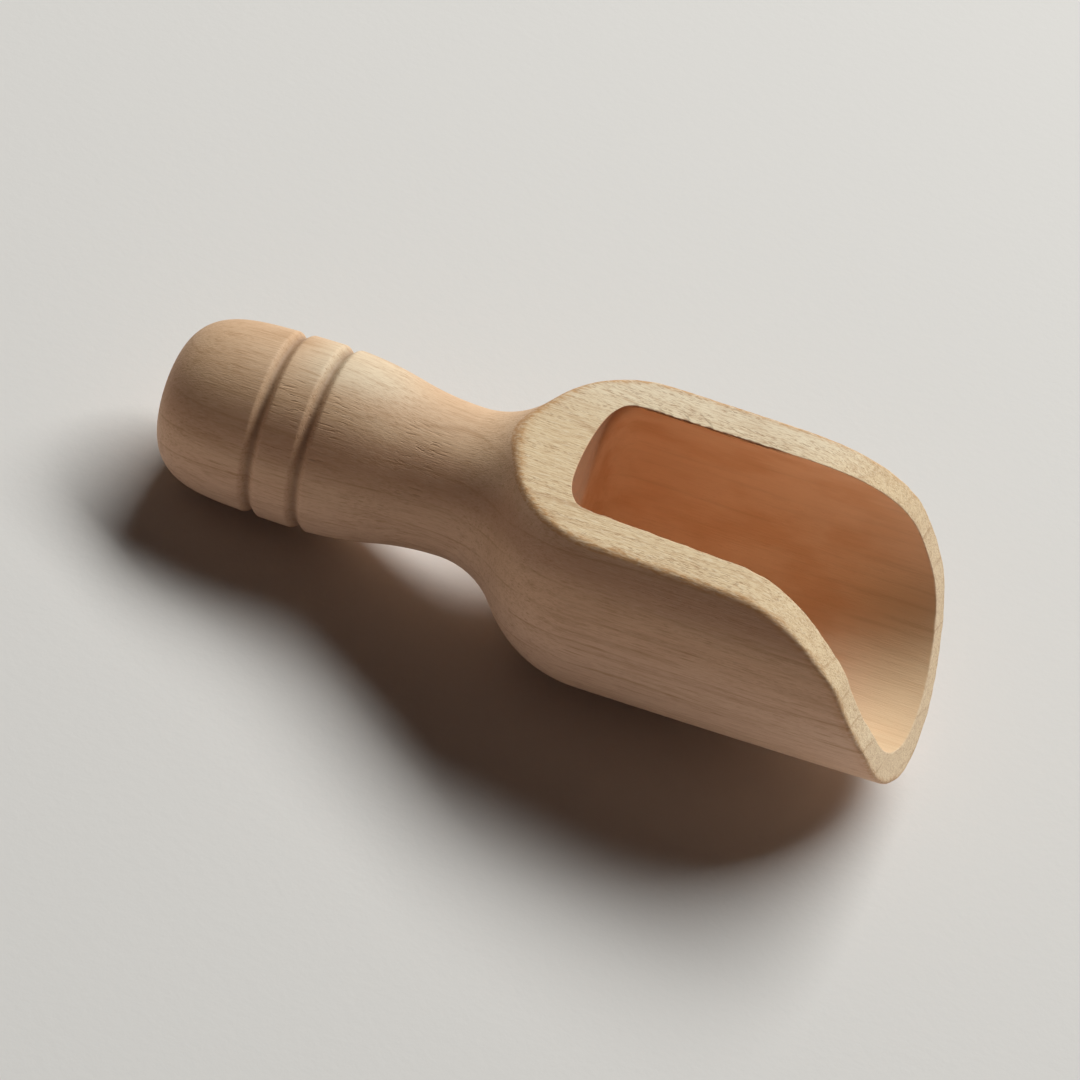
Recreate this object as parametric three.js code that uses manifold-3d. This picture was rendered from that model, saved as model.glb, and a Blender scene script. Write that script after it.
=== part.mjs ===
// Wooden scoop, in millimetres with +Z up, lying on a table as it comes to rest.
// The handle is a turned spindle whose round tenon is glued into the solid back of the bowl.
// The bowl is turned, bored from its front and cut open along the top and the front.
import * as THREE from 'three';
import { mergeVertices } from 'three/addons/utils/BufferGeometryUtils.js';
import Module from 'manifold-3d';

// Handle, measured along the turning axis from its domed end
const END_DEPTH = 9.7;
const END_ROUNDNESS = 3.7;
const REAR_CROWN_RADIUS = 140;
const BULGE_FROM_END = 14.8;
const BULGE_RADIUS = 9;
const BULGE_TO_NECK = 14.5;
const BULGE_ARC_SHARE = 0.55;
const NECK_RADIUS = 7.3;

// Two turned grooves round the handle
const GROOVE_FROM_END = 10.9;
const GROOVE_SPACING = 4.75;
const GROOVE_WIDTH = 1.4;
const GROOVE_DEPTH = 0.55;

// Glued joint between handle and bowl
const TENON_RADIUS = 3.5;
const TENON_LENGTH = 6.5;
const TENON_CHAMFER = 0.6;
const GLUE_CLEARANCE = 0.3;

// Bowl, measured along the axis from the neck
const FLARE_LENGTH = 16;
const NECK_ARC_SHARE = 0.4;
const BOWL_RADIUS = 15;
const LIP_NARROWING = 0.3;
const WALL = 3.25;
const NECK_TO_BORE = 10.9;
const BORE_CORNER_DEPTH = 4.7;
const BORE_CORNER_POWER = 4.2;

// Sawn opening: a nearly level rim, a bend, two sanded slopes and the steep face of the lip
const RIM_HEIGHT = 8.1;
const RIM_FALL = 1.6;
const NECK_TO_RIM_BEND = 34.7;
const RIM_BEND_REACH = 6;
const FIRST_SLOPE = 42;
const FIRST_SLOPE_LENGTH = 2.1;
const SECOND_SLOPE = 61.5;
const SECOND_SLOPE_LENGTH = 8.1;
const LIP_SLOPE = 74.7;

// Fineness of the facets, and how far a cutting body runs past what it cuts
const SIDES = 48;
const DOME_STEPS = 10;
const SIDE_STEPS = 8;
const FLARE_STEPS = 14;
const BARREL_STEPS = 5;
const CORNER_STEPS = 8;
const GROOVE_STEPS = 6;
const BEND_STEPS = 8;
const OVERRUN = 4;

const NECK_X = BULGE_FROM_END + BULGE_TO_NECK;
const FULL_BOWL_X = NECK_X + FLARE_LENGTH;
const BORE_RADIUS = BOWL_RADIUS - WALL;
const BORE_X = NECK_X + NECK_TO_BORE;

const wasm = await Module();
wasm.setup();

const wood = new THREE.MeshStandardMaterial({ color: 0xd9b98c, roughness: 0.75, metalness: 0 });

// The direction in the side view that falls by an angle towards the lip
function falling(degrees) {
  const angle = THREE.MathUtils.degToRad(degrees);
  return new THREE.Vector2(Math.cos(angle), -Math.sin(angle));
}

// Evenly spaced values from one limit to the other, both included
function steps(from, to, count) {
  return Array.from({ length: count + 1 }, (_, i) => from + ((to - from) * i) / count);
}

// Two tangent arcs that lead from one level radius to another; the first arc takes a share of the run
function twoArcs(x, startX, startR, endX, endR, share) {
  const run = endX - startX;
  const rise = endR - startR;
  const turn = 2 * Math.atan2(Math.abs(rise), run);
  const total = run / Math.sin(turn);
  const inFirst = x < startX + run * share;
  const radius = inFirst ? total * share : total * (1 - share);
  const along = inFirst ? x - startX : endX - x;
  const sag = Math.sign(rise) * (radius - Math.sqrt(radius ** 2 - along ** 2));
  return inFirst ? startR + sag : endR - sag;
}

// A quarter of a superellipse that grows from 0 to 1 over a depth
function rounding(distance, depth, power) {
  const left = Math.max(0, 1 - distance / depth);
  return (1 - left ** power) ** (1 / power);
}

function grooveDepth(x) {
  const offsets = [GROOVE_FROM_END, GROOVE_FROM_END + GROOVE_SPACING].map((g) => Math.abs(x - g));
  const nearest = Math.min(...offsets) / (GROOVE_WIDTH / 2);
  return nearest < 1 ? (GROOVE_DEPTH * (1 + Math.cos(Math.PI * nearest))) / 2 : 0;
}

function handleRadius(x) {
  if (x > BULGE_FROM_END) {
    return twoArcs(x, BULGE_FROM_END, BULGE_RADIUS, NECK_X, NECK_RADIUS, BULGE_ARC_SHARE) - grooveDepth(x);
  }
  const crown = BULGE_RADIUS - (x - BULGE_FROM_END) ** 2 / (2 * REAR_CROWN_RADIUS);
  return crown * rounding(x, END_DEPTH, END_ROUNDNESS) - grooveDepth(x);
}

function handleProfile() {
  const grooves = [GROOVE_FROM_END, GROOVE_FROM_END + GROOVE_SPACING];
  const stations = [
    ...steps(0, Math.PI / 2, DOME_STEPS).map((t) => END_DEPTH * (1 - Math.cos(t))),
    ...steps(END_DEPTH, BULGE_FROM_END, SIDE_STEPS),
    ...steps(BULGE_FROM_END, NECK_X, SIDE_STEPS),
  ];
  const plain = stations.filter((x) => grooves.every((g) => Math.abs(x - g) > GROOVE_WIDTH / 2));
  const inGrooves = grooves.flatMap((g) => steps(g - GROOVE_WIDTH / 2, g + GROOVE_WIDTH / 2, GROOVE_STEPS));
  const sorted = [...new Set([...plain, ...inGrooves])].sort((a, b) => a - b);
  return sorted.map((x) => new THREE.Vector2(handleRadius(x), x));
}

// The sawn line in the side view, from over the neck to below the lip
function sawLine() {
  const bend = new THREE.Vector2(NECK_X + NECK_TO_RIM_BEND, RIM_HEIGHT);
  const rim = falling(RIM_FALL);
  const first = falling(FIRST_SLOPE);
  const bendStart = bend.clone().addScaledVector(rim, -RIM_BEND_REACH);
  const bendEnd = bend.clone().addScaledVector(first, RIM_BEND_REACH);
  const firstEnd = bendEnd.clone().addScaledVector(first, FIRST_SLOPE_LENGTH);
  const secondEnd = firstEnd.clone().addScaledVector(falling(SECOND_SLOPE), SECOND_SLOPE_LENGTH);
  const drop = (secondEnd.y + BOWL_RADIUS) / -falling(LIP_SLOPE).y;
  const lip = secondEnd.clone().addScaledVector(falling(LIP_SLOPE), drop);
  const past = lip.clone().addScaledVector(falling(LIP_SLOPE), OVERRUN);
  const start = bend.clone().addScaledVector(rim, (NECK_X - bend.x) / rim.x);
  return { start, bendStart, bend, bendEnd, firstEnd, secondEnd, lip, past };
}

function bowlRadius(x, lipX) {
  if (x < FULL_BOWL_X) {
    return twoArcs(x, NECK_X, NECK_RADIUS, FULL_BOWL_X, BOWL_RADIUS, NECK_ARC_SHARE);
  }
  return BOWL_RADIUS - LIP_NARROWING * ((x - FULL_BOWL_X) / (lipX - FULL_BOWL_X)) ** 2;
}

function bowlOutside(lipX, frontX) {
  const stations = [
    ...steps(NECK_X + GLUE_CLEARANCE, FULL_BOWL_X, FLARE_STEPS),
    ...steps(FULL_BOWL_X, frontX, BARREL_STEPS).slice(1),
  ];
  return stations.map((x) => new THREE.Vector2(bowlRadius(x, lipX), x));
}

function bowlInside(frontX) {
  const corner = steps(0, Math.PI / 2, CORNER_STEPS).map((t) => {
    const x = BORE_CORNER_DEPTH * (1 - Math.cos(t) ** (2 / BORE_CORNER_POWER));
    return new THREE.Vector2(BORE_RADIUS * rounding(x, BORE_CORNER_DEPTH, BORE_CORNER_POWER), BORE_X + x);
  });
  return [new THREE.Vector2(BORE_RADIUS, frontX), ...corner.reverse()];
}

// A profile of radius and distance along the axis, turned about the X axis with a flat facet at the bottom
function turned(profile) {
  const geometry = new THREE.LatheGeometry(profile, SIDES, Math.PI / SIDES);
  return geometry.rotateZ(-Math.PI / 2);
}

// A closed three.js geometry as a solid for cutting
function solid(geometry) {
  const bare = geometry.clone();
  bare.deleteAttribute('normal');
  bare.deleteAttribute('uv');
  const merged = mergeVertices(bare, 1e-4);
  const index = merged.index.array;
  const triangles = [];
  for (let i = 0; i < index.length; i += 3) {
    const [a, b, c] = index.slice(i, i + 3);
    if (a !== b && b !== c && c !== a) triangles.push(a, b, c);
  }
  const vertProperties = new Float32Array(merged.attributes.position.array);
  return new wasm.Manifold(new wasm.Mesh({ numProp: 3, vertProperties, triVerts: new Uint32Array(triangles) }));
}

function geometryOf(body) {
  const mesh = body.getMesh();
  const geometry = new THREE.BufferGeometry();
  geometry.setAttribute('position', new THREE.BufferAttribute(mesh.vertProperties, 3));
  geometry.setIndex(new THREE.BufferAttribute(mesh.triVerts, 1));
  geometry.computeVertexNormals();
  return geometry;
}

function makeHandle() {
  const tenonEnd = NECK_X + TENON_LENGTH;
  const tenon = [
    new THREE.Vector2(TENON_RADIUS, NECK_X),
    new THREE.Vector2(TENON_RADIUS, tenonEnd - TENON_CHAMFER),
    new THREE.Vector2(TENON_RADIUS - TENON_CHAMFER, tenonEnd),
    new THREE.Vector2(0, tenonEnd),
  ];
  return turned([...handleProfile(), ...tenon]);
}

function makeBowl() {
  const saw = sawLine();
  const frontX = saw.past.x;
  const socketRadius = TENON_RADIUS + GLUE_CLEARANCE;
  const socketEnd = NECK_X + TENON_LENGTH + GLUE_CLEARANCE;
  const socket = [
    new THREE.Vector2(0, socketEnd),
    new THREE.Vector2(socketRadius, socketEnd),
    new THREE.Vector2(socketRadius, NECK_X + GLUE_CLEARANCE),
  ];
  const blank = turned([...socket, ...bowlOutside(saw.lip.x, frontX), ...bowlInside(frontX)]);

  const waste = new THREE.Shape();
  const top = BOWL_RADIUS + OVERRUN;
  waste.moveTo(saw.start.x, saw.start.y);
  waste.lineTo(saw.bendStart.x, saw.bendStart.y);
  waste.quadraticCurveTo(saw.bend.x, saw.bend.y, saw.bendEnd.x, saw.bendEnd.y);
  waste.lineTo(saw.firstEnd.x, saw.firstEnd.y);
  waste.lineTo(saw.secondEnd.x, saw.secondEnd.y);
  waste.lineTo(saw.past.x, saw.past.y);
  waste.lineTo(frontX + OVERRUN, saw.past.y);
  waste.lineTo(frontX + OVERRUN, top);
  waste.lineTo(saw.start.x, top);
  waste.closePath();
  const depth = 2 * top;
  const cutter = new THREE.ExtrudeGeometry(waste, { depth, bevelEnabled: false, curveSegments: BEND_STEPS });
  cutter.translate(0, 0, -depth / 2).rotateX(Math.PI / 2);
  return geometryOf(solid(blank).subtract(solid(cutter)));
}

// The scoop is heavier towards the handle, so it lies on the handle's end and on the back of the bowl.
// Returns the slope of the line that touches both profiles from below.
function restingSlope() {
  const handle = handleProfile();
  const { lip, past } = sawLine();
  const bowl = bowlOutside(lip.x, past.x);
  const flat = Math.cos(Math.PI / SIDES);
  const steepest = handle.map((h) => Math.max(...bowl.map((b) => (flat * (b.x - h.x)) / (b.y - h.y))));
  return Math.min(...steepest);
}

function named(name, geometry) {
  const mesh = new THREE.Mesh(geometry, wood.clone());
  mesh.name = name;
  return mesh;
}

const lying = new THREE.Group();
lying.add(named('handle', makeHandle()), named('bowl', makeBowl()));
lying.rotation.y = -Math.atan(restingSlope());

const scoop = new THREE.Group();
scoop.add(lying);
scoop.updateMatrixWorld(true);
const extent = new THREE.Box3().setFromObject(scoop, true);
const centre = extent.getCenter(new THREE.Vector3());
lying.position.set(-centre.x, -centre.y, -extent.min.z);

export default scoop;
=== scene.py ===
# %% [markdown]
# # A small turned wooden scoop
# The scoop is a short stick of pale hardwood, turned on a lathe, bored from one end and cut open with a saw.
# A handle with two turned grooves leads over a slim neck into a round bowl with a slanted lip.
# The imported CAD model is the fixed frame: it says where each piece sits and how large it is.
# The two pieces are worked out again here as finer surfaces with soft edges, and get their wood and light.

# %% Load the frame
import math

import bpy
import numpy as np
from mathutils import Matrix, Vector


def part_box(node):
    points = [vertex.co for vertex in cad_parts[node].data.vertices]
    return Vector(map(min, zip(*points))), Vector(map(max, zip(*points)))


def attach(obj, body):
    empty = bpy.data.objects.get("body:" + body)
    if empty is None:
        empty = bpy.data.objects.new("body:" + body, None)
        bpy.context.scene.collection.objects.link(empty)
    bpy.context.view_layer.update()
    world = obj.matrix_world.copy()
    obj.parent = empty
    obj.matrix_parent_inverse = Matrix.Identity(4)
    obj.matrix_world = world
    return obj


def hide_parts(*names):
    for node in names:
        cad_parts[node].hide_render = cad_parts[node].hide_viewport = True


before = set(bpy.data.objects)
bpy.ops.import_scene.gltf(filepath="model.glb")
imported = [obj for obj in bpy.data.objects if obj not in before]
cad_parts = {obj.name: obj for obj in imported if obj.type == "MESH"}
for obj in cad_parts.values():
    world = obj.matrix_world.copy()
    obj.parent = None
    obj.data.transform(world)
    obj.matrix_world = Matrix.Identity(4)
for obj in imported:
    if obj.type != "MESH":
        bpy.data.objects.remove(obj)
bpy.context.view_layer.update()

MM = 0.001

# %% [markdown]
# ## The turned outline
# A turner sets out a profile: at each distance along the axis, one radius.
# It could be drawn as a spline, but tangent arcs are what a turner's template has.
# They also repeat the sizes of the CAD model.
# All sizes are in millimetres along the turning axis, from the domed end of the handle.

# %% Sizes of the turned outline
END_DEPTH, END_ROUNDNESS, REAR_CROWN_RADIUS = 9.7, 3.7, 140.0
BULGE_X, BULGE_RADIUS, BULGE_ARC_SHARE = 14.8, 9.0, 0.55
NECK_X, NECK_RADIUS, NECK_ARC_SHARE = 29.3, 7.3, 0.4
FULL_BOWL_X, BOWL_RADIUS, LIP_NARROWING = 45.3, 15.0, 0.3
BORE_X, BORE_RADIUS, BORE_CORNER_DEPTH, BORE_CORNER_POWER = 40.2, 11.75, 4.7, 4.2
GROOVES_X, GROOVE_WIDTH, GROOVE_DEPTH = (10.9, 15.65), 1.8, 0.55
TENON_RADIUS, TENON_END, TENON_CHAMFER = 3.5, 35.8, 0.6
SOCKET_RADIUS, SOCKET_END = 3.8, 36.1
JOINT_X = NECK_X + 0.15


def two_arcs(x, start_x, start_r, end_x, end_r, share):
    """Radius along two tangent arcs between two level radii; the first arc takes a share of the run.
    Each arc's radius is its share of run / sin(turn), where the turn is twice the slope of the chord."""
    run, rise = end_x - start_x, end_r - start_r
    whole = run / math.sin(2 * math.atan2(abs(rise), run))
    in_first = x < start_x + run * share
    radius = np.where(in_first, whole * share, whole * (1 - share))
    along = np.where(in_first, x - start_x, end_x - x)
    sag = math.copysign(1, rise) * (radius - np.sqrt(np.maximum(radius**2 - along**2, 0)))
    return np.where(in_first, start_r + sag, end_r - sag)


def handle_radius(x):
    """A shallow crown towards the domed end, a superellipse over the end, and two arcs down to the neck."""
    crown = BULGE_RADIUS - (x - BULGE_X) ** 2 / (2 * REAR_CROWN_RADIUS)
    left = np.clip(1 - x / END_DEPTH, 0, 1)
    rear = crown * (1 - left**END_ROUNDNESS) ** (1 / END_ROUNDNESS)
    in_front = np.clip(x, BULGE_X, NECK_X)
    front = two_arcs(in_front, BULGE_X, BULGE_RADIUS, NECK_X, NECK_RADIUS, BULGE_ARC_SHARE)
    return np.where(x > BULGE_X, front, rear)


def bowl_radius(x):
    """Two arcs flare out from the neck; past them the bowl narrows with the square of the distance."""
    in_flare = np.clip(x, NECK_X, FULL_BOWL_X)
    flare = two_arcs(in_flare, NECK_X, NECK_RADIUS, FULL_BOWL_X, BOWL_RADIUS, NECK_ARC_SHARE)
    barrel = BOWL_RADIUS - LIP_NARROWING * (np.maximum(x - FULL_BOWL_X, 0) / (LIP_X - FULL_BOWL_X)) ** 2
    return np.where(x < FULL_BOWL_X, flare, barrel)


def bore_radius(x):
    """A flat-ended hole whose corner is a quarter of a superellipse."""
    left = np.clip(1 - (x - BORE_X) / BORE_CORNER_DEPTH, 0, 1)
    return np.where(x < BORE_X, 0, BORE_RADIUS * (1 - left**BORE_CORNER_POWER) ** (1 / BORE_CORNER_POWER))


print("bulge", 2 * BULGE_RADIUS, "mm, neck", 2 * NECK_RADIUS, "mm, bowl", 2 * BOWL_RADIUS, "mm across")

# %% [markdown]
# ## The saw cut
# The bowl is opened by one cut: nearly level along the rim, round a bend, then down three slopes to the lip.
# A boolean would leave long thin faces here.
# So the cut is kept as a line in the side view, with a point every 0.02 mm.
# A running mean rubs its corners down, as sandpaper does: a little on the near side, more on the far side.

# %% The saw line in the side view
RIM_HEIGHT, RIM_FALL, RIM_BEND_X, RIM_BEND_REACH = 8.1, 1.6, 64.0, 6.0
FIRST_SLOPE, FIRST_SLOPE_LENGTH = 42.0, 2.1
SECOND_SLOPE, SECOND_SLOPE_LENGTH, LIP_SLOPE = 61.5, 8.1, 74.7
SAW_STEP, NEAR_SOFTNESS, FAR_SOFTNESS = 0.02, 1.4, 5.0
BEND_POINTS, LIP_OVERRUN = 60, 6.0


def falling(degrees):
    """Direction in the side view that falls by an angle towards the lip."""
    return np.array([math.cos(math.radians(degrees)), -math.sin(math.radians(degrees))])


def saw_corners():
    """Straight rim, quadratic Bezier bend and three straight slopes, and where the last one meets the lip."""
    bend = np.array([RIM_BEND_X, RIM_HEIGHT])
    bend_start = bend - RIM_BEND_REACH * falling(RIM_FALL)
    bend_end = bend + RIM_BEND_REACH * falling(FIRST_SLOPE)
    first_end = bend_end + FIRST_SLOPE_LENGTH * falling(FIRST_SLOPE)
    second_end = first_end + SECOND_SLOPE_LENGTH * falling(SECOND_SLOPE)
    lip = second_end + (second_end[1] + BOWL_RADIUS) / -falling(LIP_SLOPE)[1] * falling(LIP_SLOPE)
    start = bend - (RIM_BEND_X - NECK_X) / falling(RIM_FALL)[0] * falling(RIM_FALL)
    u = np.linspace(0, 1, BEND_POINTS)[:, None]
    curve = (1 - u) ** 2 * bend_start + 2 * u * (1 - u) * bend + u**2 * bend_end
    return np.vstack([start, curve, first_end, second_end, lip + LIP_OVERRUN * falling(LIP_SLOPE)]), lip


CORNERS, LIP = saw_corners()
LIP_X = LIP[0]


class SawLine:
    """The cut in the side view: evenly spaced distances along it, its points and their normals."""

    def __init__(self, softness):
        along = np.r_[0, np.cumsum(np.linalg.norm(np.diff(CORNERS, axis=0), axis=1))]
        s = np.arange(0, along[-1], SAW_STEP)
        line = np.column_stack([np.interp(s, along, CORNERS[:, 0]), np.interp(s, along, CORNERS[:, 1])])
        width = int(softness / SAW_STEP) | 1
        total = np.cumsum(np.vstack([[0, 0], line]), axis=0)
        self.s = s[width // 2:len(s) - width // 2]
        self.line = (total[width:] - total[:-width]) / width
        tangent = np.gradient(self.line, self.s, axis=0)
        tangent /= np.linalg.norm(tangent, axis=1)[:, None]
        self.normal = np.column_stack([-tangent[:, 1], tangent[:, 0]])

    def point(self, s, y):
        """Points on the sawn face at a distance along the line and a distance across."""
        x, z = np.interp(s, self.s, self.line[:, 0]), np.interp(s, self.s, self.line[:, 1])
        return np.stack([x, y, z], axis=-1)


near_saw, far_saw = SawLine(NEAR_SOFTNESS), SawLine(FAR_SOFTNESS)
print("saw line:", len(near_saw.s), "points; lip at", round(float(LIP_X), 2), "mm")

# %% [markdown]
# ## How the scoop lies
# The handle outweighs the hollow bowl, so the scoop rests on the handle's end and the back of the bowl.
# The line that touches both profiles from below gives the tilt.
# The CAD turning has 48 flat sides, and the tilt is worked out on the middle of a flat, as in the CAD.

# %% Tilt, and the step from the turning axis into the CAD frame
CAD_SIDES, TILT_POINTS = 48, 1500
HANDLE_FROM, BOWL_FROM = 0.01, NECK_X + 0.3
handle_x = np.linspace(HANDLE_FROM, NECK_X, TILT_POINTS)
bowl_x = np.linspace(BOWL_FROM, FULL_BOWL_X, TILT_POINTS)
slope = (bowl_radius(bowl_x)[None] - handle_radius(handle_x)[:, None]) / (bowl_x[None] - handle_x[:, None])
flat = math.cos(math.pi / CAD_SIDES)
TILT = math.atan(flat * slope.max(axis=1).min())
sin_tilt, cos_tilt = math.sin(TILT), math.cos(TILT)
lift = -(handle_x * sin_tilt - flat * handle_radius(handle_x) * cos_tilt).min()
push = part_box("handle")[0][0] / MM - (handle_x * cos_tilt - flat * handle_radius(handle_x) * sin_tilt).min()
print("tilt", round(math.degrees(TILT), 3), "degrees; moved by", round(push, 3), round(lift, 3), "mm")


def lay(points):
    """Turns points by the tilt, moves them onto the table and changes millimetres to metres."""
    x, y, z = np.moveaxis(points, -1, 0)
    laid = np.stack([x * cos_tilt - z * sin_tilt + push, y, x * sin_tilt + z * cos_tilt + lift], axis=-1)
    return laid * MM


# %% [markdown]
# ## From a grid of points to a skin
# Each piece is one grid: rows follow each other along the piece, and the columns of a row run once round it.
# Rows at both ends shrink to one point, so the skin is closed and has an inside.
# The volume under the faces is summed to see that they point outwards.

# %% A closed skin from rows of points
def around(half, other=None):
    """Joins rows of the far side, from the top round to the bottom, with the mirrored rows of the near side.
    Where no near side is given, it is the mirror image of the far side."""
    near = half if other is None else other
    return np.concatenate([half, near[..., -2:0:-1, :] * np.array([1, -1, 1])], axis=-2)


def skin(name, rows, sharp_above=50):
    """Joins neighbouring points of the grid into four-sided faces and closes both ends with fans."""
    count, columns = rows.shape[:2]
    index = np.arange(count * columns).reshape(count, columns)
    beside = np.roll(index, -1, axis=1)
    quads = np.stack([index[:-1], index[1:], beside[1:], beside[:-1]], axis=-1).reshape(-1, 4)
    ends = np.array([rows[0].mean(axis=0), rows[-1].mean(axis=0)])
    first = np.column_stack([np.full(columns, count * columns), index[0], beside[0]])
    last = np.column_stack([np.full(columns, count * columns + 1), beside[-1], index[-1]])
    points = np.vstack([rows.reshape(-1, 3), ends])
    triangles = np.vstack([quads[:, :3], quads[:, [0, 2, 3]], first, last])
    a, b, c = points[triangles[:, 0]], points[triangles[:, 1]], points[triangles[:, 2]]
    volume = (a * np.cross(b, c)).sum() / 6
    assert volume > 0, name + " is inside out"
    mesh = bpy.data.meshes.new(name)
    mesh.from_pydata(points.tolist(), [], quads.tolist() + first.tolist() + last.tolist())
    mesh.polygons.foreach_set("use_smooth", np.ones(len(mesh.polygons), bool))
    mesh.set_sharp_from_angle(angle=math.radians(sharp_above))
    piece = bpy.data.objects.new(name, mesh)
    bpy.context.scene.collection.objects.link(piece)
    print(name, len(triangles), "triangles,", round(volume / MM**3 / 1000, 2), "cubic centimetres")
    return piece


def note(piece, name, values):
    """Stores one number per point of the grid, with 0 at the two closing points, for the material to read."""
    attribute = piece.data.attributes.new(name, "FLOAT", "POINT")
    attribute.data.foreach_set("value", np.r_[values.ravel(), 0, 0].astype(np.float32))


# %% [markdown]
# ## The handle
# On the real scoop this is plain spindle turning: a domed end, two cut grooves, a slight bulge and a neck.
# A Screw modifier on a profile curve would do, but its steps along the profile are hard to control.
# Here the piece is a stack of circles, close together where the grooves are.
# The hidden tenon closes the front end.

# %% The handle
HANDLE_TURN, BOWL_TURN = np.linspace(0, 1, 181), np.linspace(0, 1, 361)
ROW_STEP, PROFILE_POINTS = 0.3, 20001
GROOVE_ROWS, GROOVE_MARGIN = 21, 0.55


def groove_depth(x):
    """A raised cosine: deepest in the middle, level at both edges."""
    nearest = np.abs(np.asarray(x)[:, None] - np.array(GROOVES_X)).min(axis=1) / (GROOVE_WIDTH / 2)
    return np.where(nearest < 1, GROOVE_DEPTH * (1 + np.cos(np.pi * np.minimum(nearest, 1))) / 2, 0)


def circles(x, r, turn):
    """Rows of points round the axis: angle 0 at the top, growing towards +Y and down to the bottom."""
    angle = np.pi * turn
    x, r = np.asarray(x)[:, None], np.asarray(r)[:, None]
    return around(np.stack([x + 0 * angle, r * np.sin(angle), r * np.cos(angle)], axis=-1))


def even_stations():
    """Distances along the axis at even steps along the profile, closer together in the grooves."""
    x = NECK_X * np.linspace(0, 1, PROFILE_POINTS) ** 3
    length = np.r_[0, np.cumsum(np.hypot(np.diff(x), np.diff(handle_radius(x))))]
    plain = np.interp(np.arange(2 * ROW_STEP, length[-1], ROW_STEP), length, x)
    clear = np.abs(plain[:, None] - np.array(GROOVES_X)).min(axis=1) > GROOVE_WIDTH * GROOVE_MARGIN
    in_grooves = [g + np.linspace(-0.5, 0.5, GROOVE_ROWS) * GROOVE_WIDTH for g in GROOVES_X]
    return np.unique(np.concatenate([plain[clear], *in_grooves]))


stations = even_stations()
tenon_x = [JOINT_X, JOINT_X, TENON_END - TENON_CHAMFER, TENON_END]
tenon_r = [NECK_RADIUS, TENON_RADIUS, TENON_RADIUS, TENON_RADIUS - TENON_CHAMFER]
turned = circles(stations, handle_radius(stations) - groove_depth(stations), HANDLE_TURN)
handle_rows = np.concatenate([turned, circles(tenon_x, tenon_r, HANDLE_TURN)])
handle = skin("handle_turning", lay(handle_rows))
sunk = np.r_[groove_depth(stations) / GROOVE_DEPTH, np.zeros(len(tenon_x))]
note(handle, "sunk", np.repeat(sunk, handle_rows.shape[1]))
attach(handle, "root")
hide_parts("handle")

# %% [markdown]
# ## The bowl
# The bowl is a cup with a wall of about 3 mm, open along the saw line.
# A boolean could cut it, but then its edges would be razor sharp and its faces uneven.
# Here the grid itself follows the cut: its rows run over the outside, across the rim and down into the bore.
# Where two surfaces meet, a few rows follow a quadratic curve.
# So the outer edge is sanded soft and the inner one is left crisp, as on the real scoop.
# A seeded wavering makes both edges uneven, most where the drill has torn the wood.

# %% Loops where the saw line meets the outside and the bore
OUTER_SOFT, INNER_SOFT = 0.45, 0.16
OUTER_WAVER, INNER_WAVER = 0.09, 0.06
WAVES, WAVE_LENGTHS, WAVE_SPREAD, SETTLING = 16, (0.6, 5.0), 2.8, 10


def edge_loop(saw, sunk, radius_of):
    """Half of the loop where a turned surface meets the saw line sunk into the wood: y is the square root of
    radius squared less height squared, and the points are spread by a cosine from the back to the lip."""
    line = saw.line - sunk * saw.normal
    left = radius_of(line[:, 0]) ** 2 - line[:, 1] ** 2
    inside = np.flatnonzero(left > 0)
    first, last = inside[0], inside[-1]
    start = saw.s[first] - SAW_STEP * left[first] / (left[first] - left[first - 1])
    end = saw.s[last] + SAW_STEP * left[last] / (left[last] - left[last + 1])
    s = start + (end - start) * (1 - np.cos(np.pi * BOWL_TURN)) / 2
    x, z = np.interp(s, saw.s, line[:, 0]), np.interp(s, saw.s, line[:, 1])
    y = np.sqrt(np.maximum(radius_of(x) ** 2 - z**2, 0))
    y[[0, -1]] = 0
    return s, np.stack([x, y, z], axis=-1)


def moved_in(s, y, distance):
    """Moves a loop on the sawn face along its own normal, positive towards the middle of the opening."""
    ds, dy = np.gradient(s), np.gradient(y)
    ds[[0, -1]] = 0
    length = np.hypot(ds, dy)
    return s + distance * dy / length, np.maximum(y - distance * ds / length, 0)


def waver(s, seed, size):
    """Wavering of about a size along a loop, still at both ends: a sum of seeded sines, 0.6 to 5 mm long."""
    chance = np.random.default_rng(seed)
    lengths, phases = chance.uniform(*WAVE_LENGTHS, WAVES), chance.uniform(0, 2 * np.pi, WAVES)
    waves = np.sin(2 * np.pi * s[:, None] / lengths + phases).sum(axis=1) / WAVE_SPREAD
    return size * waves * np.minimum(1, SETTLING * np.sin(np.pi * BOWL_TURN))


for name, radius_of in (("outer", bowl_radius), ("inner", bore_radius)):
    cut = np.ptp(edge_loop(near_saw, 0, radius_of)[0])
    print(name, "edge runs", round(float(cut), 1), "mm along the saw line")


# %% The rows of the bowl
OUTSIDE_ROWS, RIM_ROWS, INSIDE_ROWS, OUTER_EDGE_ROWS, INNER_EDGE_ROWS = 56, 10, 38, 7, 5
TORN_WAVER, TORN_FROM, TORN_TO, TORN_RAMP = 0.28, 42.0, 58.0, 3.0
CORNER_POINTS, BORE_OVERRUN, LEAST_EDGE = 4000, 4.0, 0.05
FAR_SEED, NEAR_SEED = 3, 7


def between(start, end, share):
    """Straight mixture of two arrays for each share, as new leading rows."""
    share = np.asarray(share).reshape((-1,) + (1,) * start.ndim)
    return start * (1 - share) + end * share


def rounded(start, corner, end, rows):
    """Rows of a quadratic curve that leaves one loop and reaches another, pulled towards the sharp edge."""
    u = np.linspace(0, 1, rows + 2)[1:-1, None, None]
    return (1 - u) ** 2 * start + 2 * u * (1 - u) * corner + u**2 * end


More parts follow.
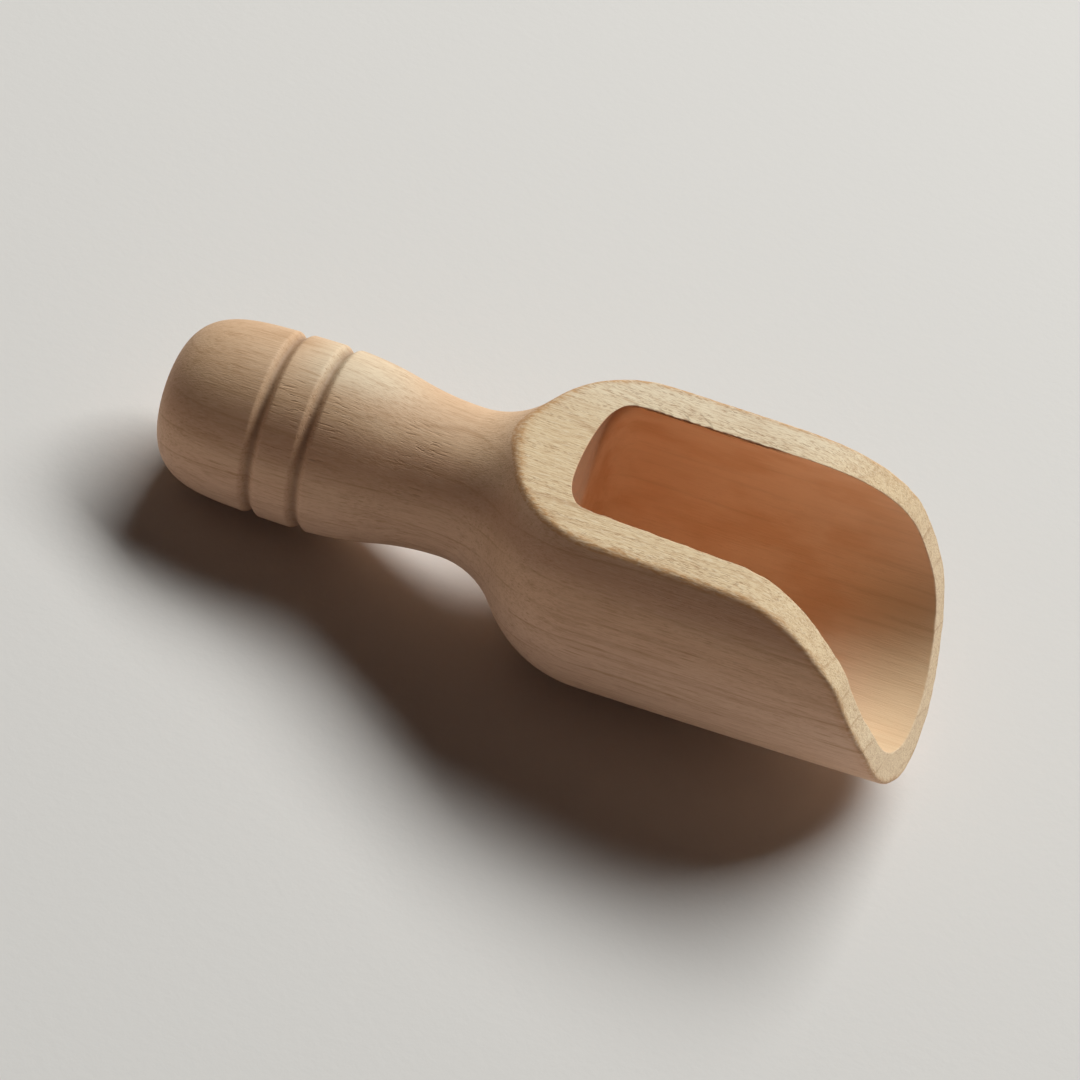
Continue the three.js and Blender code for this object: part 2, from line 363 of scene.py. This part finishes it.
def outside_rows(edge):
    """From the neck ring to the outer edge, straight lines in distance and angle on the turned surface."""
    share = np.linspace(0, 1, OUTSIDE_ROWS + 1)[1:]
    x = between(np.full(len(edge), JOINT_X), edge[:, 0], share)
    angle = between(np.pi * BOWL_TURN, np.arctan2(edge[:, 1], edge[:, 2]), share)
    r = bowl_radius(x)
    return np.stack([x, r * np.sin(angle), r * np.cos(angle)], axis=-1)


def inside_rows(edge):
    """From the inner edge to the middle of the bore's floor, straight lines in profile length and angle."""
    a = np.linspace(0, np.pi / 2, CORNER_POINTS)
    x_corner = BORE_X + BORE_CORNER_DEPTH * (1 - np.cos(a) ** (2 / BORE_CORNER_POWER))
    x_profile = np.r_[x_corner, LIP_X + BORE_OVERRUN]
    r_profile = np.r_[BORE_RADIUS * np.sin(a) ** (2 / BORE_CORNER_POWER), BORE_RADIUS]
    length = np.r_[0, np.cumsum(np.hypot(np.diff(x_profile), np.diff(r_profile)))]
    r_edge = np.hypot(edge[:, 1], edge[:, 2])
    q_edge = np.interp(edge[:, 0] + r_edge, x_profile + r_profile, length)
    share = np.linspace(0, 1, INSIDE_ROWS + 1)[:-1]
    q = between(q_edge, np.zeros_like(q_edge), share)
    angle = between(np.arctan2(edge[:, 1], edge[:, 2]), np.pi * BOWL_TURN, share)
    x, r = np.interp(q, length, x_profile), np.interp(q, length, r_profile)
    return np.stack([x, r * np.sin(angle), r * np.cos(angle)], axis=-1)


def bowl_side(saw, seed, torn):
    """One side of the bowl, from the top round to the bottom: outside, soft edge, rim, crisp edge, bore."""
    outer_s, outer_edge = edge_loop(saw, 0, bowl_radius)
    inner_s, inner_edge = edge_loop(saw, 0, bore_radius)
    outer_start = edge_loop(saw, OUTER_SOFT, bowl_radius)[1]
    inner_end = edge_loop(saw, INNER_SOFT, bore_radius)[1]
    into_tear = np.minimum(inner_edge[:, 0] - TORN_FROM, TORN_TO - inner_edge[:, 0])
    in_tear = np.clip(into_tear / TORN_RAMP, 0, 1)
    rough = INNER_SOFT + waver(inner_s, seed, INNER_WAVER) + in_tear * np.abs(waver(inner_s, seed + 1, torn))
    rim_out = moved_in(outer_s, outer_edge[:, 1], OUTER_SOFT + waver(outer_s, seed + 2, OUTER_WAVER))
    rim_in = moved_in(inner_s, inner_edge[:, 1], -np.maximum(rough, LEAST_EDGE))
    share = np.linspace(0, 1, RIM_ROWS)
    rim = saw.point(between(rim_out[0], rim_in[0], share), between(rim_out[1], rim_in[1], share))
    return np.concatenate([
        outside_rows(outer_start),
        rounded(outer_start, outer_edge, rim[0], OUTER_EDGE_ROWS),
        rim,
        rounded(rim[-1], inner_edge, inner_end, INNER_EDGE_ROWS),
        inside_rows(inner_end),
    ])


socket_x, socket_r = [SOCKET_END, JOINT_X, JOINT_X], [SOCKET_RADIUS, SOCKET_RADIUS, NECK_RADIUS]
sides = around(bowl_side(far_saw, FAR_SEED, TORN_WAVER), bowl_side(near_saw, NEAR_SEED, 0.0))
bowl_rows = np.concatenate([circles(socket_x, socket_r, BOWL_TURN), sides])
bowl = skin("bowl_turning", lay(bowl_rows))
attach(bowl, "root")
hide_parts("bowl")

# %% [markdown]
# ## Notes for the wood
# The saw, the drill and the sandpaper leave different surfaces, and the material has to know which is which.
# Separate materials on faces would change in steps.
# So a number on each row of the bowl says how far it is sawn, bored or on the edge, and fades between them.

# %% Sawn, bored and edge rows
FRINGE_AND_SHADE_BELOW, FRINGE_AND_SHADE_ABOVE = 0.6, 0.7


def note_rows(name, *parts):
    """Stores one number for each row of the bowl, given part by part from the socket to the bore's floor."""
    values = np.concatenate(parts)
    note(bowl, name, np.repeat(values, bowl_rows.shape[1]))
    print(name, "is noted on", np.count_nonzero(values), "of", len(values), "rows")


plain, hollow = np.zeros(len(socket_x) + OUTSIDE_ROWS), np.zeros(INSIDE_ROWS)
onto_rim, into_bore = np.linspace(0, 1, OUTER_EDGE_ROWS), np.linspace(0, 1, INNER_EDGE_ROWS)
note_rows("sawn", plain, onto_rim, np.ones(RIM_ROWS), 1 - into_bore, hollow)
note_rows("bored", plain, 0 * onto_rim, np.zeros(RIM_ROWS), into_bore, 1 + hollow)
# The edge note carries the tan fringe and its painted shade.
fringe_and_shade = [FRINGE_AND_SHADE_BELOW, *np.ones(OUTER_EDGE_ROWS), FRINGE_AND_SHADE_ABOVE]
note_rows("edge", plain[1:], fringe_and_shade, np.zeros(RIM_ROWS - 1), 0 * into_bore, hollow)

# %% [markdown]
# ## Shader maths in Python
# A wood pattern is many small sums, and a node for each is hard to read.
# This class wraps a socket, so that a plus sign in Python adds a Math node and links it.

# %% A socket that can be added and multiplied
class Socket:
    """One output of a node. Operators add Math nodes; node() adds any other kind."""

    def __init__(self, tree, link=None):
        self.tree, self.link = tree, link

    def node(self, kind, settings=None, sockets=None, output=0):
        """Adds a node: its settings first, then a value or a link for each socket."""
        made = self.tree.nodes.new(kind)
        for name, value in (settings or {}).items():
            setattr(made, name, value)
        for name, value in (sockets or {}).items():
            if isinstance(value, Socket):
                self.tree.links.new(value.link, made.inputs[name])
            else:
                made.inputs[name].default_value = value
        return Socket(self.tree, made.outputs[output] if made.outputs else None)

    def math(self, operation, *terms):
        return self.node("ShaderNodeMath", {"operation": operation}, dict(enumerate(terms)))

    def __add__(self, other):
        return self.math("ADD", self, other)

    def __sub__(self, other):
        return self.math("SUBTRACT", self, other)

    def __rsub__(self, other):
        return self.math("SUBTRACT", other, self)

    def __mul__(self, other):
        return self.math("MULTIPLY", self, other)

    def __truediv__(self, other):
        return self.math("DIVIDE", self, other)

    def __pow__(self, other):
        return self.math("POWER", self, other)

    __radd__, __rmul__ = __add__, __mul__

    def rise(self, low, high):
        """0 below low, 1 above high, smooth between."""
        settings = {"interpolation_type": "SMOOTHSTEP"}
        return self.node("ShaderNodeMapRange", settings, {"Value": self, "From Min": low, "From Max": high})

    def within(self, low, full_from, full_to, high):
        """0 below low, 1 over the full stretch, 0 above high, smooth between."""
        return self.rise(low, full_from) * (1 - self.rise(full_to, high))

    def stretched(self, x, y, z):
        """A position with each direction multiplied."""
        return self.node("ShaderNodeVectorMath", {"operation": "MULTIPLY"}, {0: self, 1: (x, y, z)})

    def noise(self, detail=2.0, roughness=0.5):
        """Smooth noise about 0.5, with bumps about one unit apart."""
        sockets = {"Vector": self, "Scale": 1.0, "Detail": detail, "Roughness": roughness}
        return self.node("ShaderNodeTexNoise", None, sockets)

    def dots(self):
        """Distance to the nearest of scattered points, about one to a cubic unit."""
        return self.node("ShaderNodeTexVoronoi", None, {"Vector": self, "Scale": 1.0, "Randomness": 1.0})

    def colour(self, tone):
        """A constant colour."""
        made = self.node("ShaderNodeRGB")
        made.link.default_value = tone + (1,)
        return made

    def mixed(self, other, share):
        """This colour turned towards another by a share."""
        other = other if isinstance(other, Socket) else other + (1,)
        return self.node("ShaderNodeMix", {"data_type": "RGBA"}, {0: share, 6: self, 7: other}, output=2)


def empty_tree(owner):
    """Empties the nodes of a material or world and gives a first socket to build from."""
    owner.use_nodes = True
    owner.node_tree.nodes.clear()
    return Socket(owner.node_tree)


# %% [markdown]
# ## Raw pale wood
# The scoop is unvarnished: fine fibres run along the axis, growth layers show as brown bands and thin lines,
# and open pores are short dark dashes, clearest where the saw has cut them.
# A picture of wood would need unwrapping and would break at the edges.
# A solid pattern in the block's own space runs through both pieces, so sides, rim and end grain agree.
# A Mapping node turns the coordinates back by the tilt, so that x follows the fibres.
# Each pattern is noise in a stretched place: the smaller the stretch, the longer the mark in that direction.

# %% The block of wood: places, notes from the meshes, and patterns
RING_SPACING, RING_START, RING_LEAN, RING_SWAY = 3.0, -2.2, 0.3, 3.0
CHIPPED_REAR, CHIPPED_NECK = (10.5, 12.5, 17.5, 20.5), (23.0, 25.0, 27.5, 29.5)


class Block:
    """Places in the block in millimetres, x along the fibres and z up, and the patterns that fill it."""

    def __init__(self, start):
        self.start, self.place = start, self.fibre_place(start)
        apart = start.node("ShaderNodeSeparateXYZ", None, {0: self.place}).link.node.outputs
        self.x, self.y, self.z = (Socket(start.tree, part) for part in apart)
        self.sawn, self.bored = self.noted("sawn"), self.noted("bored")
        self.sunk, self.edge = self.noted("sunk"), self.noted("edge")
        self.layer = self.z + RING_LEAN * self.y
        self.broad = self.place.stretched(0.05, 0.3, 0.3).noise(2.0)
        self.streak = self.place.stretched(0.08, 1.5, 1.5).noise(3.0, 0.6)
        self.fibre = self.place.stretched(0.3, 6.0, 6.0).noise(3.0, 0.6)
        self.fuzz = self.place.stretched(1.0, 6.5, 6.5).noise(3.0, 0.65)
        self.cloud = self.place.stretched(0.12, 0.3, 0.3).noise(3.0, 0.55)
        self.shreds = self.place.stretched(1.3, 4.0, 4.0).noise(2.0, 0.6)
        self.ragged = self.place.stretched(0.7, 2.0, 2.0).noise(3.0, 0.7)
        self.flecks = 1 - self.place.stretched(0.2, 2.4, 2.4).dots().rise(0.1, 0.24)
        self.late, self.line = self.rings()
        self.pores, self.chips = self.pore_rows(), self.tool_chips()

    def fibre_place(self, start):
        """Object coordinates turned and moved back onto the turning axis, in millimetres."""
        place = start.node("ShaderNodeTexCoord", output="Object")
        back = (-(push * cos_tilt + lift * sin_tilt), 0.0, push * sin_tilt - lift * cos_tilt)
        sockets = {"Vector": place, "Location": back, "Rotation": (0.0, TILT, 0.0), "Scale": (1 / MM,) * 3}
        return start.node("ShaderNodeMapping", None, sockets)

    def noted(self, name):
        """A number stored on the mesh."""
        return self.start.node("ShaderNodeAttribute", {"attribute_name": name}, output="Fac")

    def rings(self):
        """Late wood, and the thin line that ends a year, by how far a place is through its layer."""
        sway = RING_SWAY * self.place.stretched(0.04, 0.1, 0.1).noise(1.0) - RING_SWAY / 2
        turns = (self.layer - RING_START + sway) / RING_SPACING
        ring = turns.math("FRACT", turns)
        broken = self.place.stretched(0.08, 0.5, 0.5).noise(1.0).rise(0.35, 0.6)
        return ring.within(0.4, 0.95, 0.95, 1.0), ring.within(0.88, 0.955, 0.96, 1.0) * broken

    def pore_rows(self):
        """Short dashes round scattered points, only in some rows of the wood."""
        rows = self.place.stretched(0.06, 2.2, 2.2).noise(1.0).rise(0.4, 0.6)
        return rows * (1 - self.place.stretched(1.4, 8.0, 8.0).dots().rise(0.22, 0.42))

    def tool_chips(self):
        """Small nicks left by the turning tool, high on the near side of the handle."""
        radius = (self.y * self.y + self.z * self.z) ** 0.5
        facing = ((self.z - self.y) / radius).rise(1.15, 1.38)
        chipped = self.x.within(*CHIPPED_REAR) + self.x.within(*CHIPPED_NECK)
        return self.place.stretched(0.6, 4.2, 4.2).noise(2.0).rise(0.54, 0.72) * facing * chipped


# %% [markdown]
# ## Turned, sawn and bored surfaces
# Each tool leaves its own tone: the turned outside is tan, the sawn rim is straw, the bored hollow is redder.
# Three materials would meet in hard lines on the mesh.
# So one material mixes three tones by the numbers that were stored on the mesh, and the edges blend.

# %% Tones of the three surfaces
TURNED, TURNED_PAINTED_BOUNCE, TURNED_PALE_AND_HIGHLIGHT = (0.72, 0.485, 0.295), (0.72, 0.525, 0.365), (0.84, 0.69, 0.48)
DOME_BROWN, PAINTED_SHADE_BROWN = (0.44, 0.25, 0.12), (0.42, 0.22, 0.13)
SAWN, SAWN_PALE = (0.76, 0.585, 0.355), (0.85, 0.73, 0.53)
BORED, BORED_DARK = (0.90, 0.605, 0.395), (0.75, 0.42, 0.22)
BORED_LIP, BORE_END_SHADE = (0.69, 0.50, 0.30), (0.33, 0.15, 0.07)
HIGHLIGHT_PATCH, SHADE_BAND_LAYERS = (11.0, 16.0, 21.0, 28.0), (-0.5, 2.2, 3.4, 6.0)
TO_GROOVES, TO_NECK = (6.0, 11.0), (24.0, 32.0)
END_CORNER, TO_LIP = (41.4, 43.6), (62.0, 74.0)


def turned_tone(wood):
    """Tan, with painted bounce light that makes it lighter low down, a painted highlight on top of the bulge,
    browner on the dome, and painted shade in one level band across the upper sides.
    """
    x, y, z, broad = wood.x, wood.y, wood.z, wood.broad
    # Painted bounce light: the turned tone is paler and pinker low down, where light thrown up from the paper
    # falls.
    tone = wood.start.colour(TURNED).mixed(TURNED_PAINTED_BOUNCE, 1 - (z + 3.0 * broad).rise(-3.0, 6.0))
    # Painted highlight: the top of the bulge is turned pale cream, where the light from above falls
    # brightest. The same pale tone also varies at random through the broad noise.
    painted_highlight = (z + 0.25 * y).rise(7.0, 9.2) * x.within(*HIGHLIGHT_PATCH)
    tone = tone.mixed(TURNED_PALE_AND_HIGHLIGHT, 0.2 * broad.rise(0.4, 0.8) + 0.9 * painted_highlight)
    dome = (1 - 0.6 * x.rise(*TO_GROOVES) - 0.4 * x.rise(*TO_NECK)) * z.rise(-1.0, 6.0)
    tone = tone.mixed(DOME_BROWN, 0.24 * dome)
    # Painted shade: one level band across the upper sides of the handle and bowl is turned brown, deepening
    # the shade there.
    painted_shade_band = (wood.layer + 3.0 * broad - 1.5).within(*SHADE_BAND_LAYERS)
    return tone.mixed(PAINTED_SHADE_BROWN, 0.5 * painted_shade_band * (0.6 + 0.4 * x.rise(8.0, 14.0)))


def sawn_tone(wood):
    """Straw, paler in the highest layers of the block and down towards the lip."""
    pale = wood.layer.rise(8.8, 13.2) + 0.4 * (1 - wood.z.rise(-6.0, 7.0))
    return wood.start.colour(SAWN).mixed(SAWN_PALE, pale)


def bored_tone(wood, tone):
    """Red-brown with soft clouds, straw at the lip, kept low down where the light falls, and painted shade on
    the upper near part of the bore's end.
    """
    x, z, bored = wood.x, wood.z, wood.bored
    # Partly painted light: the straw of the lip is kept mostly to the low part of the bore, where the light
    # falls, and the shaded wall above it stays red.
    lip = x.rise(*TO_LIP) * (1 - 0.85 * z.rise(-9.5, 0.0))
    tone = tone.mixed(wood.start.colour(BORED).mixed(BORED_LIP, lip), 0.92 * bored)
    clouds = wood.cloud.rise(0.40, 0.66) * (1 - 0.8 * x.rise(64.0, 72.0))
    tone = tone.mixed(BORED_DARK, 0.55 * bored * clouds)
    # Painted shade: the upper near part of the bore's end, which the window light reaches, is turned dark
    # brown.
    return tone.mixed(BORE_END_SHADE, 0.85 * bored * (z - wood.y).rise(-6.0, 1.0) * (1 - x.rise(*END_CORNER)))


# %% [markdown]
# ## Grain and worn edges
# Over the tones come the marks of the wood: lines between years, streaks, fibres, fuzz and pores.
# The saw has left a tan fringe on the outer edge, darkened with painted shade, and the drill a torn brown one
# under the far rim, darkened with painted shadow.
# Loose fibres could be hair, but they are shorter than a millimetre, so tone and small relief show them.

# %% Marks on the surfaces
RING_BROWN, PORE_BROWN, GROOVE_SHADE_BROWN = (0.42, 0.235, 0.11), (0.32, 0.145, 0.06), (0.16, 0.085, 0.045)
EDGE_TAN_AND_SHADE, TORN_BROWN_AND_SHADOW = (0.50, 0.25, 0.085), (0.13, 0.055, 0.025)
TORN_STRETCH, TO_SLOPE = (41.5, 43.5, 55.0, 60.0), (60.0, 66.0)


def with_grain(wood, tone):
    """Each mark turns the tone towards its own brown or straw by a share, which depends on the surface."""
    sawn, bored, fuzz = wood.sawn, wood.bored, wood.fuzz
    tone = tone.mixed(RING_BROWN, (0.06 * wood.late + 0.42 * wood.line) * (1 - 0.85 * bored))
    smooth = bored * (1 - 0.6 * wood.x.rise(63.0, 70.0))
    streaks = wood.streak.rise(0.46, 0.74) * (0.32 - 0.23 * smooth)
    tone = tone.mixed(RING_BROWN, streaks + wood.fibre.rise(0.48, 0.76) * (0.4 - 0.32 * bored))
    tone = tone.mixed(SAWN_PALE, fuzz.rise(0.5, 0.68) * (0.1 + 0.34 * sawn) * (1 - bored))
    tone = tone.mixed(RING_BROWN, (1 - fuzz).rise(0.48, 0.68) * (0.17 + 0.25 * sawn) * (1 - bored))
    tone = tone.mixed(PORE_BROWN, wood.pores * (0.16 + 0.36 * sawn) * (1 - 0.7 * bored))
    return tone.mixed(RING_BROWN, 0.4 * (wood.flecks + wood.chips) * (1 - sawn) * (1 - bored))


def with_edges(wood, tone):
    """A tan fringe on the outer edge with painted shade, painted shade in the grooves, and brown shreds with
    painted shadow a little way down from the far rim.
    """
    x, ragged = wood.x, wood.ragged
    # Partly painted shade: frayed tan fibres on the rounded outer edge, darkened and warmed where the
    # rounding turns away from the light.
    fringe_and_shade = wood.edge * (0.15 + 0.6 * wood.shreds.rise(0.38, 0.6)) * (1 - 0.35 * x.rise(*TO_SLOPE))
    tone = tone.mixed(EDGE_TAN_AND_SHADE, fringe_and_shade)
    # Painted shade: the bottoms of the grooves are darkened, where the grooves shade themselves.
    tone = tone.mixed(GROOVE_SHADE_BROWN, 0.6 * wood.sunk * wood.sunk)
    depth = RIM_HEIGHT + math.tan(math.radians(RIM_FALL)) * (RIM_BEND_X - x) - wood.z
    # Partly painted shadow: a dark brown band just under the far inner rim stands for torn fibres and the
    # shadow under their overhanging edge.
    torn = wood.bored * wood.y.rise(3.0, 6.0) * x.within(*TORN_STRETCH) * (0.4 + 0.6 * ragged.rise(0.4, 0.52))
    return tone.mixed(TORN_BROWN_AND_SHADOW, 0.95 * torn * (1 - (depth - 2.4 * ragged + 1.2).rise(0.35, 1.1)))


# %% The finished wood on both pieces
BUMP_STRENGTH, BUMP_DEPTH, SHEEN = 0.6, 0.1 * MM, 0.3


def raw_wood(name):
    """The three tones, mixed by the notes, with grain and edges over them, and a small relief."""
    material = bpy.data.materials.new(name)
    start = empty_tree(material)
    wood = Block(start)
    sawn, fibre = wood.sawn, wood.fibre
    tone = bored_tone(wood, turned_tone(wood).mixed(sawn_tone(wood), sawn))
    tone = with_edges(wood, with_grain(wood, tone))
    height = 0.5 * fibre + (0.3 + 0.4 * sawn) * wood.fuzz - 0.4 * wood.pores * (0.3 + 0.7 * sawn)
    height = height - 0.7 * wood.chips
    relief = {"Strength": BUMP_STRENGTH, "Distance": BUMP_DEPTH, "Height": height}
    bump = start.node("ShaderNodeBump", None, relief)
    rough = 0.55 + 0.15 * fibre + 0.1 * sawn + 0.35 * wood.bored
    sockets = {"Base Color": tone, "Roughness": rough, "Normal": bump, "Specular IOR Level": SHEEN}
    surface = start.node("ShaderNodeBsdfPrincipled", None, sockets)
    start.node("ShaderNodeOutputMaterial", None, {"Surface": surface})
    print(name, len(start.tree.nodes), "nodes")
    return material


wood = raw_wood("raw_pale_wood")
handle.data.materials.append(wood)
bowl.data.materials.append(wood)

# %% [markdown]
# ## Table, light and camera
# The scoop lies on matt pale paper in the light of a wide window, high on the far side.
# The window is a large soft box, which gives the shadow its soft edge.
# A long low board on the near side throws warm light back into the shade, and the room adds a dim fill.
# Light that bounces off the paper is warmer than the paper looks, so the paper has one tone for each.
# The camera looks down at 43 degrees with a long lens and leans by 21.5 degrees.

# %% The floor
FLOOR_HALF, FLOOR_POINTS = 2.5, 9
FLOOR_TONE, FLOOR_BOUNCE = (0.70, 0.68, 0.645), (0.90, 0.765, 0.72)
PAPER_TOOTH, PAPER_BUMP, PAPER_DEPTH, PAPER_ROUGHNESS = 900, 0.12, 0.2 * MM, 0.9


def floor_sheet(z):
    """A flat grid of points, each an even step from its neighbours."""
    line = np.linspace(-FLOOR_HALF, FLOOR_HALF, FLOOR_POINTS)
    x, y = np.meshgrid(line, line)
    points = np.stack([x, y, np.full_like(x, z)], axis=-1).reshape(-1, 3)
    index = np.arange(FLOOR_POINTS**2).reshape(FLOOR_POINTS, FLOOR_POINTS)
    faces = np.stack([index[:-1, :-1], index[:-1, 1:], index[1:, 1:], index[1:, :-1]], axis=-1).reshape(-1, 4)
    mesh = bpy.data.meshes.new("floor_sheet")
    mesh.from_pydata(points.tolist(), [], faces.tolist())
    sheet = bpy.data.objects.new("floor_sheet", mesh)
    bpy.context.scene.collection.objects.link(sheet)
    return sheet


def seen_by_eye(start):
    """1 for rays from the camera, also in a mirror or through glass, and 0 for light that bounces."""
    rays = start.node("ShaderNodeLightPath").link.node.outputs
    kinds = ("Is Camera Ray", "Is Glossy Ray", "Is Transmission Ray")
    camera, glossy, clear = (Socket(start.tree, rays[kind]) for kind in kinds)
    return start.math("MINIMUM", camera + glossy + clear, 1.0)


lowest = min(float(lay(rows)[..., 2].min()) for rows in (handle_rows, bowl_rows))
floor = floor_sheet(lowest)
paper = bpy.data.materials.new("matt_paper")
sheet = empty_tree(paper)
tooth = sheet.node("ShaderNodeTexCoord", output="Object").stretched(*(PAPER_TOOTH,) * 3).noise(3.0, 0.6)
relief = {"Strength": PAPER_BUMP, "Distance": PAPER_DEPTH, "Height": tooth}
paper_bump = sheet.node("ShaderNodeBump", None, relief)
tone = sheet.colour(FLOOR_BOUNCE).mixed(FLOOR_TONE, seen_by_eye(sheet))
matt = {"Base Color": tone, "Roughness": PAPER_ROUGHNESS, "Normal": paper_bump}
surface = sheet.node("ShaderNodeBsdfPrincipled", None, matt)
sheet.node("ShaderNodeOutputMaterial", None, {"Surface": surface})
floor.data.materials.append(paper)
print("floor at", round(lowest / MM, 3), "mm")

# %% The light
WINDOW_AZIMUTH, WINDOW_HEIGHT, WINDOW_DISTANCE, WINDOW_TURN = 74.5, 51.0, 1.6, -14.0
WINDOW_SIZE, WINDOW_POWER, WINDOW_TONE = (1.5, 0.6), 33.8, (0.985, 1.0, 1.0)
BOARD_AZIMUTH, BOARD_HEIGHT, BOARD_DISTANCE = -90.0, 3.0, 2.0
BOARD_SIZE, BOARD_POWER, BOARD_TONE = (2.4, 0.4), 0.65, (1.0, 0.38, 0.34)
FILL_TONE, BACKDROP_TONE = (0.009, 0.0036, 0.0035), (0.72, 0.70, 0.665)


def toward(azimuth, height):
    """Unit direction at an azimuth from +X towards +Y and a height above the table, in degrees."""
    a, h = math.radians(azimuth), math.radians(height)
    return np.array([math.cos(h) * math.cos(a), math.cos(h) * math.sin(a), math.sin(h)])


def aimed(thing, place, back, right):
    """Places a lamp or camera: it looks along -Z, so its axes are right, up and back as columns."""
    up = np.cross(back, right)
    matrix = np.eye(4)
    matrix[:3, 0], matrix[:3, 1], matrix[:3, 2], matrix[:3, 3] = right, up, back, place
    thing.matrix_world = Matrix(matrix.tolist())


def soft_box(name, place, size, power, tone, turn=0.0):
    """A level rectangular lamp at an azimuth, height and distance from the object.
    It faces the object, and a turn in degrees swings it away about the vertical."""
    azimuth, height, distance = place
    lamp = bpy.data.lights.new(name, "AREA")
    lamp.shape, lamp.size, lamp.size_y = "RECTANGLE", *size
    lamp.energy, lamp.color = power, tone
    stand = bpy.data.objects.new(name, lamp)
    bpy.context.scene.collection.objects.link(stand)
    out, along = toward(azimuth, height), toward(azimuth + 90 + turn, 0)
    back = out - (out @ along) * along
    aimed(stand, distance * out, back / np.linalg.norm(back), along)
    print(name, size, "m at", distance, "m")


window = (WINDOW_AZIMUTH, WINDOW_HEIGHT, WINDOW_DISTANCE)
board = (BOARD_AZIMUTH, BOARD_HEIGHT, BOARD_DISTANCE)
soft_box("window_box", window, WINDOW_SIZE, WINDOW_POWER, WINDOW_TONE, WINDOW_TURN)
soft_box("bounce_board", board, BOARD_SIZE, BOARD_POWER, BOARD_TONE)

world = bpy.data.worlds.new("dim_room")
room = empty_tree(world)
dim = room.node("ShaderNodeBackground", None, {"Color": FILL_TONE + (1,)})
pale = room.node("ShaderNodeBackground", None, {"Color": BACKDROP_TONE + (1,)})
both = room.node("ShaderNodeMixShader", None, {0: seen_by_eye(room), 1: dim, 2: pale})
room.node("ShaderNodeOutputWorld", None, {"Surface": both})
bpy.context.scene.world = world
print("room fill", FILL_TONE)

# %% The camera
EYE, AIM = np.array([23.406, -300.664, 293.767]), np.array([-0.970, -1.172, 10.844])
LENS, SENSOR, LEAN = 146.79, 36.0, 21.498
NEAREST, FARTHEST = 0.02, 20.0

lens = bpy.data.cameras.new("camera")
lens.lens, lens.sensor_width, lens.sensor_fit = LENS, SENSOR, "HORIZONTAL"
lens.clip_start, lens.clip_end = NEAREST, FARTHEST
camera = bpy.data.objects.new("camera", lens)
bpy.context.scene.collection.objects.link(camera)
back = (EYE - AIM) / np.linalg.norm(EYE - AIM)
level = np.cross([0, 0, 1], back)
level /= np.linalg.norm(level)
lean = math.radians(LEAN)
aimed(camera, EYE * MM, back, level * math.cos(lean) + np.cross(back, level) * math.sin(lean))
bpy.context.scene.camera = camera
bpy.context.scene.view_settings.view_transform = "Standard"
print("camera", round(float(np.linalg.norm(EYE - AIM))), "mm away")
